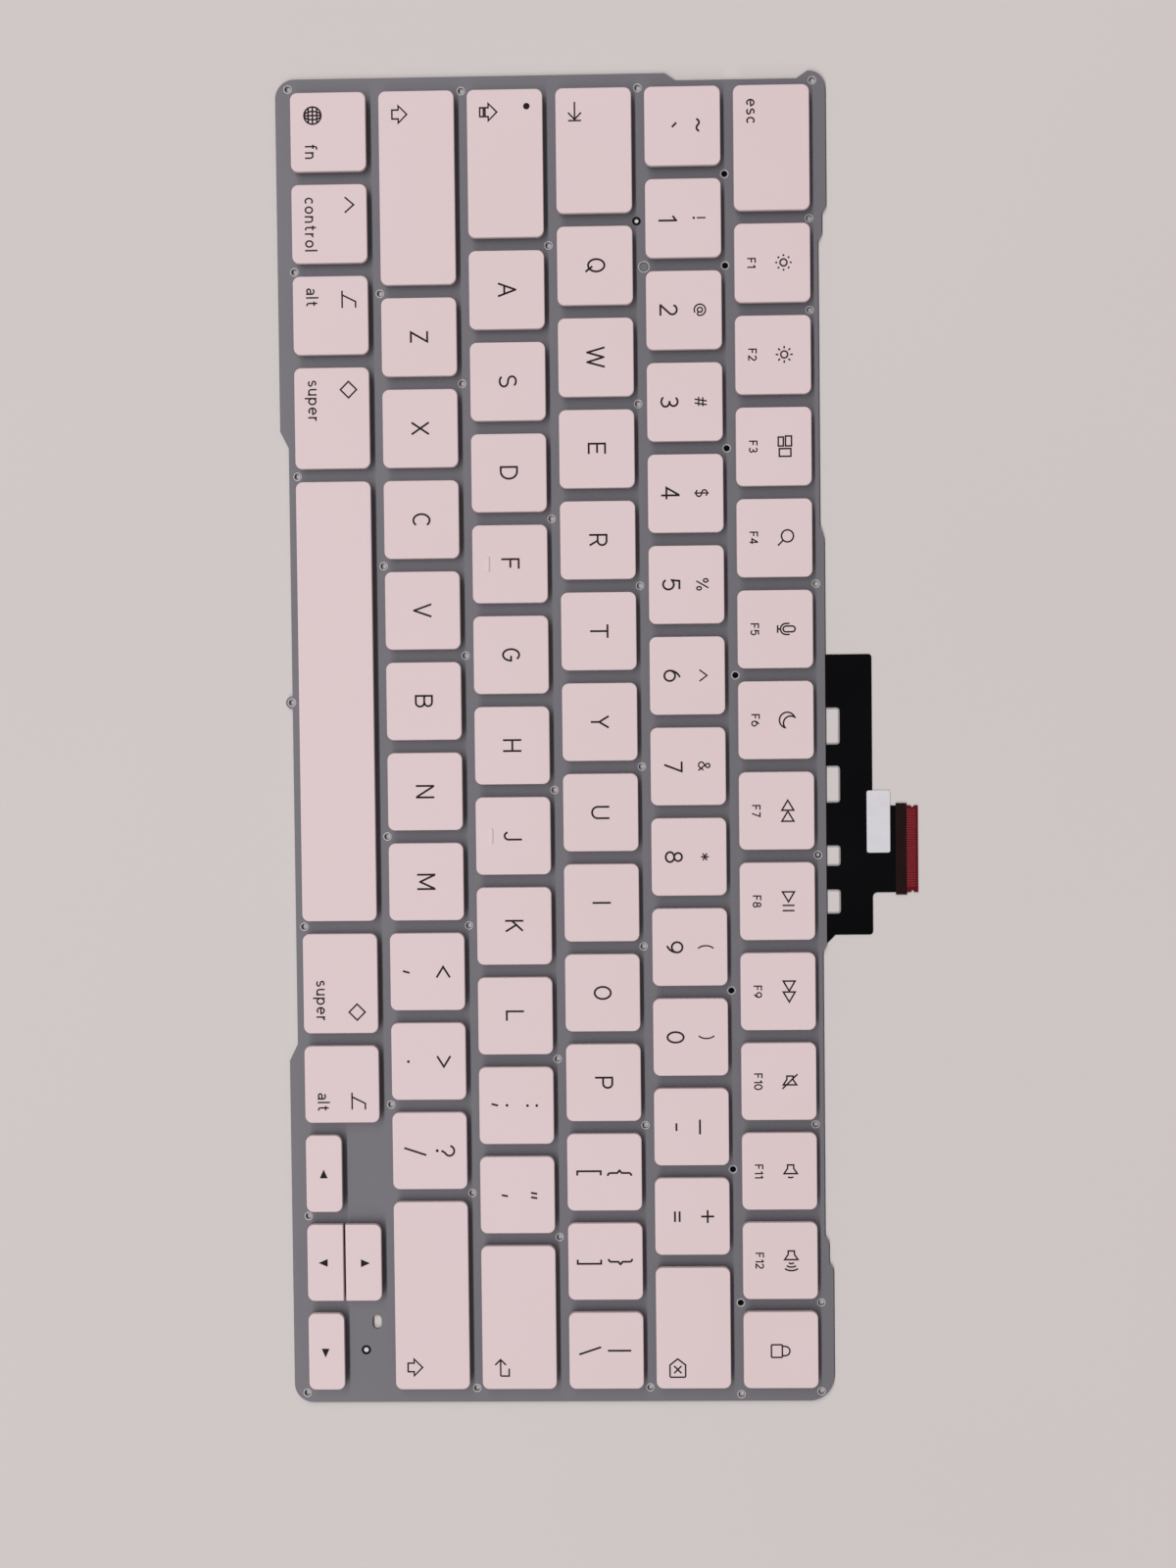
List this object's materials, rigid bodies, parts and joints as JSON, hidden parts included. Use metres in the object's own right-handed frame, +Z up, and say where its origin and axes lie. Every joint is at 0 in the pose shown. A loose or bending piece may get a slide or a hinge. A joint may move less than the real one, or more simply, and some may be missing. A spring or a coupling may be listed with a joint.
{
  "type": "laptop keyboard",
  "caption": "Thin laptop keyboard module: rounded keycaps on scissor frames and rubber domes over a stamped plate, with a flat black circuit tail at the back.",
  "frame": {"origin": "centre of the four corner screw holes, on the underside of the base plate", "axes": "+X to the right along the key rows, +Y towards the function row and the tail, +Z up through the keys"},
  "size_m": [0.2796, 0.1334, 0.0035],
  "materials": {
    "keycap": "satin",
    "plate": "satin",
    "circuit": "satin",
    "dome": "matt",
    "frame": "satin",
    "wire": "satin",
    "band": "satin",
    "contact": "satin",
    "label": "matt"
  },
  "bodies": {
    "module": {"base_plate": "plate", "contact_strip": "contact", "function_row_keycaps": "keycap", "number_row_keycaps": "keycap", "rubber_domes": "dome", "scissor_frames": "frame", "stabiliser_wires": "wire", "switch_circuit": "circuit", "tail_band": "band", "tail_label": "label"},
    "key_a": {"keycap_a": "keycap"},
    "key_arrow_down": {"keycap_arrow_down": "keycap"},
    "key_arrow_left": {"keycap_arrow_left": "keycap"},
    "key_arrow_right": {"keycap_arrow_right": "keycap"},
    "key_arrow_up": {"keycap_arrow_up": "keycap"},
    "key_b": {"keycap_b": "keycap"},
    "key_backslash": {"keycap_backslash": "keycap"},
    "key_c": {"keycap_c": "keycap"},
    "key_caps_lock": {"keycap_caps_lock": "keycap"},
    "key_comma": {"keycap_comma": "keycap"},
    "key_control": {"keycap_control": "keycap"},
    "key_d": {"keycap_d": "keycap"},
    "key_e": {"keycap_e": "keycap"},
    "key_f": {"keycap_f": "keycap"},
    "key_fn": {"keycap_fn": "keycap"},
    "key_g": {"keycap_g": "keycap"},
    "key_h": {"keycap_h": "keycap"},
    "key_i": {"keycap_i": "keycap"},
    "key_j": {"keycap_j": "keycap"},
    "key_k": {"keycap_k": "keycap"},
    "key_l": {"keycap_l": "keycap"},
    "key_left_alt": {"keycap_left_alt": "keycap"},
    "key_left_bracket": {"keycap_left_bracket": "keycap"},
    "key_left_shift": {"keycap_left_shift": "keycap"},
    "key_left_super": {"keycap_left_super": "keycap"},
    "key_m": {"keycap_m": "keycap"},
    "key_n": {"keycap_n": "keycap"},
    "key_o": {"keycap_o": "keycap"},
    "key_p": {"keycap_p": "keycap"},
    "key_period": {"keycap_period": "keycap"},
    "key_q": {"keycap_q": "keycap"},
    "key_quote": {"keycap_quote": "keycap"},
    "key_r": {"keycap_r": "keycap"},
    "key_return": {"keycap_return": "keycap"},
    "key_right_alt": {"keycap_right_alt": "keycap"},
    "key_right_bracket": {"keycap_right_bracket": "keycap"},
    "key_right_shift": {"keycap_right_shift": "keycap"},
    "key_right_super": {"keycap_right_super": "keycap"},
    "key_s": {"keycap_s": "keycap"},
    "key_semicolon": {"keycap_semicolon": "keycap"},
    "key_slash": {"keycap_slash": "keycap"},
    "key_space": {"keycap_space": "keycap"},
    "key_t": {"keycap_t": "keycap"},
    "key_tab": {"keycap_tab": "keycap"},
    "key_u": {"keycap_u": "keycap"},
    "key_v": {"keycap_v": "keycap"},
    "key_w": {"keycap_w": "keycap"},
    "key_x": {"keycap_x": "keycap"},
    "key_y": {"keycap_y": "keycap"},
    "key_z": {"keycap_z": "keycap"}
  },
  "joints": [
    {"name": "a_press", "type": "slide", "parent": "module", "child": "key_a", "axis": [0, 0, 1], "range_m": [-0.001, 0], "stiffness_N_per_m": 300, "springref_m": 0.001, "deforming": ["rubber_domes", "scissor_frames"]},
    {"name": "arrow_down_press", "type": "slide", "parent": "module", "child": "key_arrow_down", "axis": [0, 0, 1], "range_m": [-0.001, 0], "stiffness_N_per_m": 300, "springref_m": 0.001, "deforming": ["rubber_domes", "scissor_frames"]},
    {"name": "arrow_left_press", "type": "slide", "parent": "module", "child": "key_arrow_left", "axis": [0, 0, 1], "range_m": [-0.001, 0], "stiffness_N_per_m": 300, "springref_m": 0.001, "deforming": ["rubber_domes", "scissor_frames"]},
    {"name": "arrow_right_press", "type": "slide", "parent": "module", "child": "key_arrow_right", "axis": [0, 0, 1], "range_m": [-0.001, 0], "stiffness_N_per_m": 300, "springref_m": 0.001, "deforming": ["rubber_domes", "scissor_frames"]},
    {"name": "arrow_up_press", "type": "slide", "parent": "module", "child": "key_arrow_up", "axis": [0, 0, 1], "range_m": [-0.001, 0], "stiffness_N_per_m": 300, "springref_m": 0.001, "deforming": ["rubber_domes", "scissor_frames"]},
    {"name": "b_press", "type": "slide", "parent": "module", "child": "key_b", "axis": [0, 0, 1], "range_m": [-0.001, 0], "stiffness_N_per_m": 300, "springref_m": 0.001, "deforming": ["rubber_domes", "scissor_frames"]},
    {"name": "backslash_press", "type": "slide", "parent": "module", "child": "key_backslash", "axis": [0, 0, 1], "range_m": [-0.001, 0], "stiffness_N_per_m": 300, "springref_m": 0.001, "deforming": ["rubber_domes", "scissor_frames"]},
    {"name": "c_press", "type": "slide", "parent": "module", "child": "key_c", "axis": [0, 0, 1], "range_m": [-0.001, 0], "stiffness_N_per_m": 300, "springref_m": 0.001, "deforming": ["rubber_domes", "scissor_frames"]},
    {"name": "caps_lock_press", "type": "slide", "parent": "module", "child": "key_caps_lock", "axis": [0, 0, 1], "range_m": [-0.001, 0], "stiffness_N_per_m": 300, "springref_m": 0.001, "deforming": ["rubber_domes", "scissor_frames", "stabiliser_wires"]},
    {"name": "comma_press", "type": "slide", "parent": "module", "child": "key_comma", "axis": [0, 0, 1], "range_m": [-0.001, 0], "stiffness_N_per_m": 300, "springref_m": 0.001, "deforming": ["rubber_domes", "scissor_frames"]},
    {"name": "control_press", "type": "slide", "parent": "module", "child": "key_control", "axis": [0, 0, 1], "range_m": [-0.001, 0], "stiffness_N_per_m": 300, "springref_m": 0.001, "deforming": ["rubber_domes", "scissor_frames"]},
    {"name": "d_press", "type": "slide", "parent": "module", "child": "key_d", "axis": [0, 0, 1], "range_m": [-0.001, 0], "stiffness_N_per_m": 300, "springref_m": 0.001, "deforming": ["rubber_domes", "scissor_frames"]},
    {"name": "e_press", "type": "slide", "parent": "module", "child": "key_e", "axis": [0, 0, 1], "range_m": [-0.001, 0], "stiffness_N_per_m": 300, "springref_m": 0.001, "deforming": ["rubber_domes", "scissor_frames"]},
    {"name": "f_press", "type": "slide", "parent": "module", "child": "key_f", "axis": [0, 0, 1], "range_m": [-0.001, 0], "stiffness_N_per_m": 300, "springref_m": 0.001, "deforming": ["rubber_domes", "scissor_frames"]},
    {"name": "fn_press", "type": "slide", "parent": "module", "child": "key_fn", "axis": [0, 0, 1], "range_m": [-0.001, 0], "stiffness_N_per_m": 300, "springref_m": 0.001, "deforming": ["rubber_domes", "scissor_frames"]},
    {"name": "g_press", "type": "slide", "parent": "module", "child": "key_g", "axis": [0, 0, 1], "range_m": [-0.001, 0], "stiffness_N_per_m": 300, "springref_m": 0.001, "deforming": ["rubber_domes", "scissor_frames"]},
    {"name": "h_press", "type": "slide", "parent": "module", "child": "key_h", "axis": [0, 0, 1], "range_m": [-0.001, 0], "stiffness_N_per_m": 300, "springref_m": 0.001, "deforming": ["rubber_domes", "scissor_frames"]},
    {"name": "i_press", "type": "slide", "parent": "module", "child": "key_i", "axis": [0, 0, 1], "range_m": [-0.001, 0], "stiffness_N_per_m": 300, "springref_m": 0.001, "deforming": ["rubber_domes", "scissor_frames"]},
    {"name": "j_press", "type": "slide", "parent": "module", "child": "key_j", "axis": [0, 0, 1], "range_m": [-0.001, 0], "stiffness_N_per_m": 300, "springref_m": 0.001, "deforming": ["rubber_domes", "scissor_frames"]},
    {"name": "k_press", "type": "slide", "parent": "module", "child": "key_k", "axis": [0, 0, 1], "range_m": [-0.001, 0], "stiffness_N_per_m": 300, "springref_m": 0.001, "deforming": ["rubber_domes", "scissor_frames"]},
    {"name": "l_press", "type": "slide", "parent": "module", "child": "key_l", "axis": [0, 0, 1], "range_m": [-0.001, 0], "stiffness_N_per_m": 300, "springref_m": 0.001, "deforming": ["rubber_domes", "scissor_frames"]},
    {"name": "left_alt_press", "type": "slide", "parent": "module", "child": "key_left_alt", "axis": [0, 0, 1], "range_m": [-0.001, 0], "stiffness_N_per_m": 300, "springref_m": 0.001, "deforming": ["rubber_domes", "scissor_frames"]},
    {"name": "left_bracket_press", "type": "slide", "parent": "module", "child": "key_left_bracket", "axis": [0, 0, 1], "range_m": [-0.001, 0], "stiffness_N_per_m": 300, "springref_m": 0.001, "deforming": ["rubber_domes", "scissor_frames"]},
    {"name": "left_shift_press", "type": "slide", "parent": "module", "child": "key_left_shift", "axis": [0, 0, 1], "range_m": [-0.001, 0], "stiffness_N_per_m": 300, "springref_m": 0.001, "deforming": ["rubber_domes", "scissor_frames", "stabiliser_wires"]},
    {"name": "left_super_press", "type": "slide", "parent": "module", "child": "key_left_super", "axis": [0, 0, 1], "range_m": [-0.001, 0], "stiffness_N_per_m": 300, "springref_m": 0.001, "deforming": ["rubber_domes", "scissor_frames"]},
    {"name": "m_press", "type": "slide", "parent": "module", "child": "key_m", "axis": [0, 0, 1], "range_m": [-0.001, 0], "stiffness_N_per_m": 300, "springref_m": 0.001, "deforming": ["rubber_domes", "scissor_frames"]},
    {"name": "n_press", "type": "slide", "parent": "module", "child": "key_n", "axis": [0, 0, 1], "range_m": [-0.001, 0], "stiffness_N_per_m": 300, "springref_m": 0.001, "deforming": ["rubber_domes", "scissor_frames"]},
    {"name": "o_press", "type": "slide", "parent": "module", "child": "key_o", "axis": [0, 0, 1], "range_m": [-0.001, 0], "stiffness_N_per_m": 300, "springref_m": 0.001, "deforming": ["rubber_domes", "scissor_frames"]},
    {"name": "p_press", "type": "slide", "parent": "module", "child": "key_p", "axis": [0, 0, 1], "range_m": [-0.001, 0], "stiffness_N_per_m": 300, "springref_m": 0.001, "deforming": ["rubber_domes", "scissor_frames"]},
    {"name": "period_press", "type": "slide", "parent": "module", "child": "key_period", "axis": [0, 0, 1], "range_m": [-0.001, 0], "stiffness_N_per_m": 300, "springref_m": 0.001, "deforming": ["rubber_domes", "scissor_frames"]},
    {"name": "q_press", "type": "slide", "parent": "module", "child": "key_q", "axis": [0, 0, 1], "range_m": [-0.001, 0], "stiffness_N_per_m": 300, "springref_m": 0.001, "deforming": ["rubber_domes", "scissor_frames"]},
    {"name": "quote_press", "type": "slide", "parent": "module", "child": "key_quote", "axis": [0, 0, 1], "range_m": [-0.001, 0], "stiffness_N_per_m": 300, "springref_m": 0.001, "deforming": ["rubber_domes", "scissor_frames"]},
    {"name": "r_press", "type": "slide", "parent": "module", "child": "key_r", "axis": [0, 0, 1], "range_m": [-0.001, 0], "stiffness_N_per_m": 300, "springref_m": 0.001, "deforming": ["rubber_domes", "scissor_frames"]},
    {"name": "return_press", "type": "slide", "parent": "module", "child": "key_return", "axis": [0, 0, 1], "range_m": [-0.001, 0], "stiffness_N_per_m": 300, "springref_m": 0.001, "deforming": ["rubber_domes", "scissor_frames", "stabiliser_wires"]},
    {"name": "right_alt_press", "type": "slide", "parent": "module", "child": "key_right_alt", "axis": [0, 0, 1], "range_m": [-0.001, 0], "stiffness_N_per_m": 300, "springref_m": 0.001, "deforming": ["rubber_domes", "scissor_frames"]},
    {"name": "right_bracket_press", "type": "slide", "parent": "module", "child": "key_right_bracket", "axis": [0, 0, 1], "range_m": [-0.001, 0], "stiffness_N_per_m": 300, "springref_m": 0.001, "deforming": ["rubber_domes", "scissor_frames"]},
    {"name": "right_shift_press", "type": "slide", "parent": "module", "child": "key_right_shift", "axis": [0, 0, 1], "range_m": [-0.001, 0], "stiffness_N_per_m": 300, "springref_m": 0.001, "deforming": ["rubber_domes", "scissor_frames", "stabiliser_wires"]},
    {"name": "right_super_press", "type": "slide", "parent": "module", "child": "key_right_super", "axis": [0, 0, 1], "range_m": [-0.001, 0], "stiffness_N_per_m": 300, "springref_m": 0.001, "deforming": ["rubber_domes", "scissor_frames"]},
    {"name": "s_press", "type": "slide", "parent": "module", "child": "key_s", "axis": [0, 0, 1], "range_m": [-0.001, 0], "stiffness_N_per_m": 300, "springref_m": 0.001, "deforming": ["rubber_domes", "scissor_frames"]},
    {"name": "semicolon_press", "type": "slide", "parent": "module", "child": "key_semicolon", "axis": [0, 0, 1], "range_m": [-0.001, 0], "stiffness_N_per_m": 300, "springref_m": 0.001, "deforming": ["rubber_domes", "scissor_frames"]},
    {"name": "slash_press", "type": "slide", "parent": "module", "child": "key_slash", "axis": [0, 0, 1], "range_m": [-0.001, 0], "stiffness_N_per_m": 300, "springref_m": 0.001, "deforming": ["rubber_domes", "scissor_frames"]},
    {"name": "space_press", "type": "slide", "parent": "module", "child": "key_space", "axis": [0, 0, 1], "range_m": [-0.001, 0], "stiffness_N_per_m": 300, "springref_m": 0.001, "deforming": ["rubber_domes", "scissor_frames", "stabiliser_wires"]},
    {"name": "t_press", "type": "slide", "parent": "module", "child": "key_t", "axis": [0, 0, 1], "range_m": [-0.001, 0], "stiffness_N_per_m": 300, "springref_m": 0.001, "deforming": ["rubber_domes", "scissor_frames"]},
    {"name": "tab_press", "type": "slide", "parent": "module", "child": "key_tab", "axis": [0, 0, 1], "range_m": [-0.001, 0], "stiffness_N_per_m": 300, "springref_m": 0.001, "deforming": ["rubber_domes", "scissor_frames"]},
    {"name": "u_press", "type": "slide", "parent": "module", "child": "key_u", "axis": [0, 0, 1], "range_m": [-0.001, 0], "stiffness_N_per_m": 300, "springref_m": 0.001, "deforming": ["rubber_domes", "scissor_frames"]},
    {"name": "v_press", "type": "slide", "parent": "module", "child": "key_v", "axis": [0, 0, 1], "range_m": [-0.001, 0], "stiffness_N_per_m": 300, "springref_m": 0.001, "deforming": ["rubber_domes", "scissor_frames"]},
    {"name": "w_press", "type": "slide", "parent": "module", "child": "key_w", "axis": [0, 0, 1], "range_m": [-0.001, 0], "stiffness_N_per_m": 300, "springref_m": 0.001, "deforming": ["rubber_domes", "scissor_frames"]},
    {"name": "x_press", "type": "slide", "parent": "module", "child": "key_x", "axis": [0, 0, 1], "range_m": [-0.001, 0], "stiffness_N_per_m": 300, "springref_m": 0.001, "deforming": ["rubber_domes", "scissor_frames"]},
    {"name": "y_press", "type": "slide", "parent": "module", "child": "key_y", "axis": [0, 0, 1], "range_m": [-0.001, 0], "stiffness_N_per_m": 300, "springref_m": 0.001, "deforming": ["rubber_domes", "scissor_frames"]},
    {"name": "z_press", "type": "slide", "parent": "module", "child": "key_z", "axis": [0, 0, 1], "range_m": [-0.001, 0], "stiffness_N_per_m": 300, "springref_m": 0.001, "deforming": ["rubber_domes", "scissor_frames"]}
  ]
}
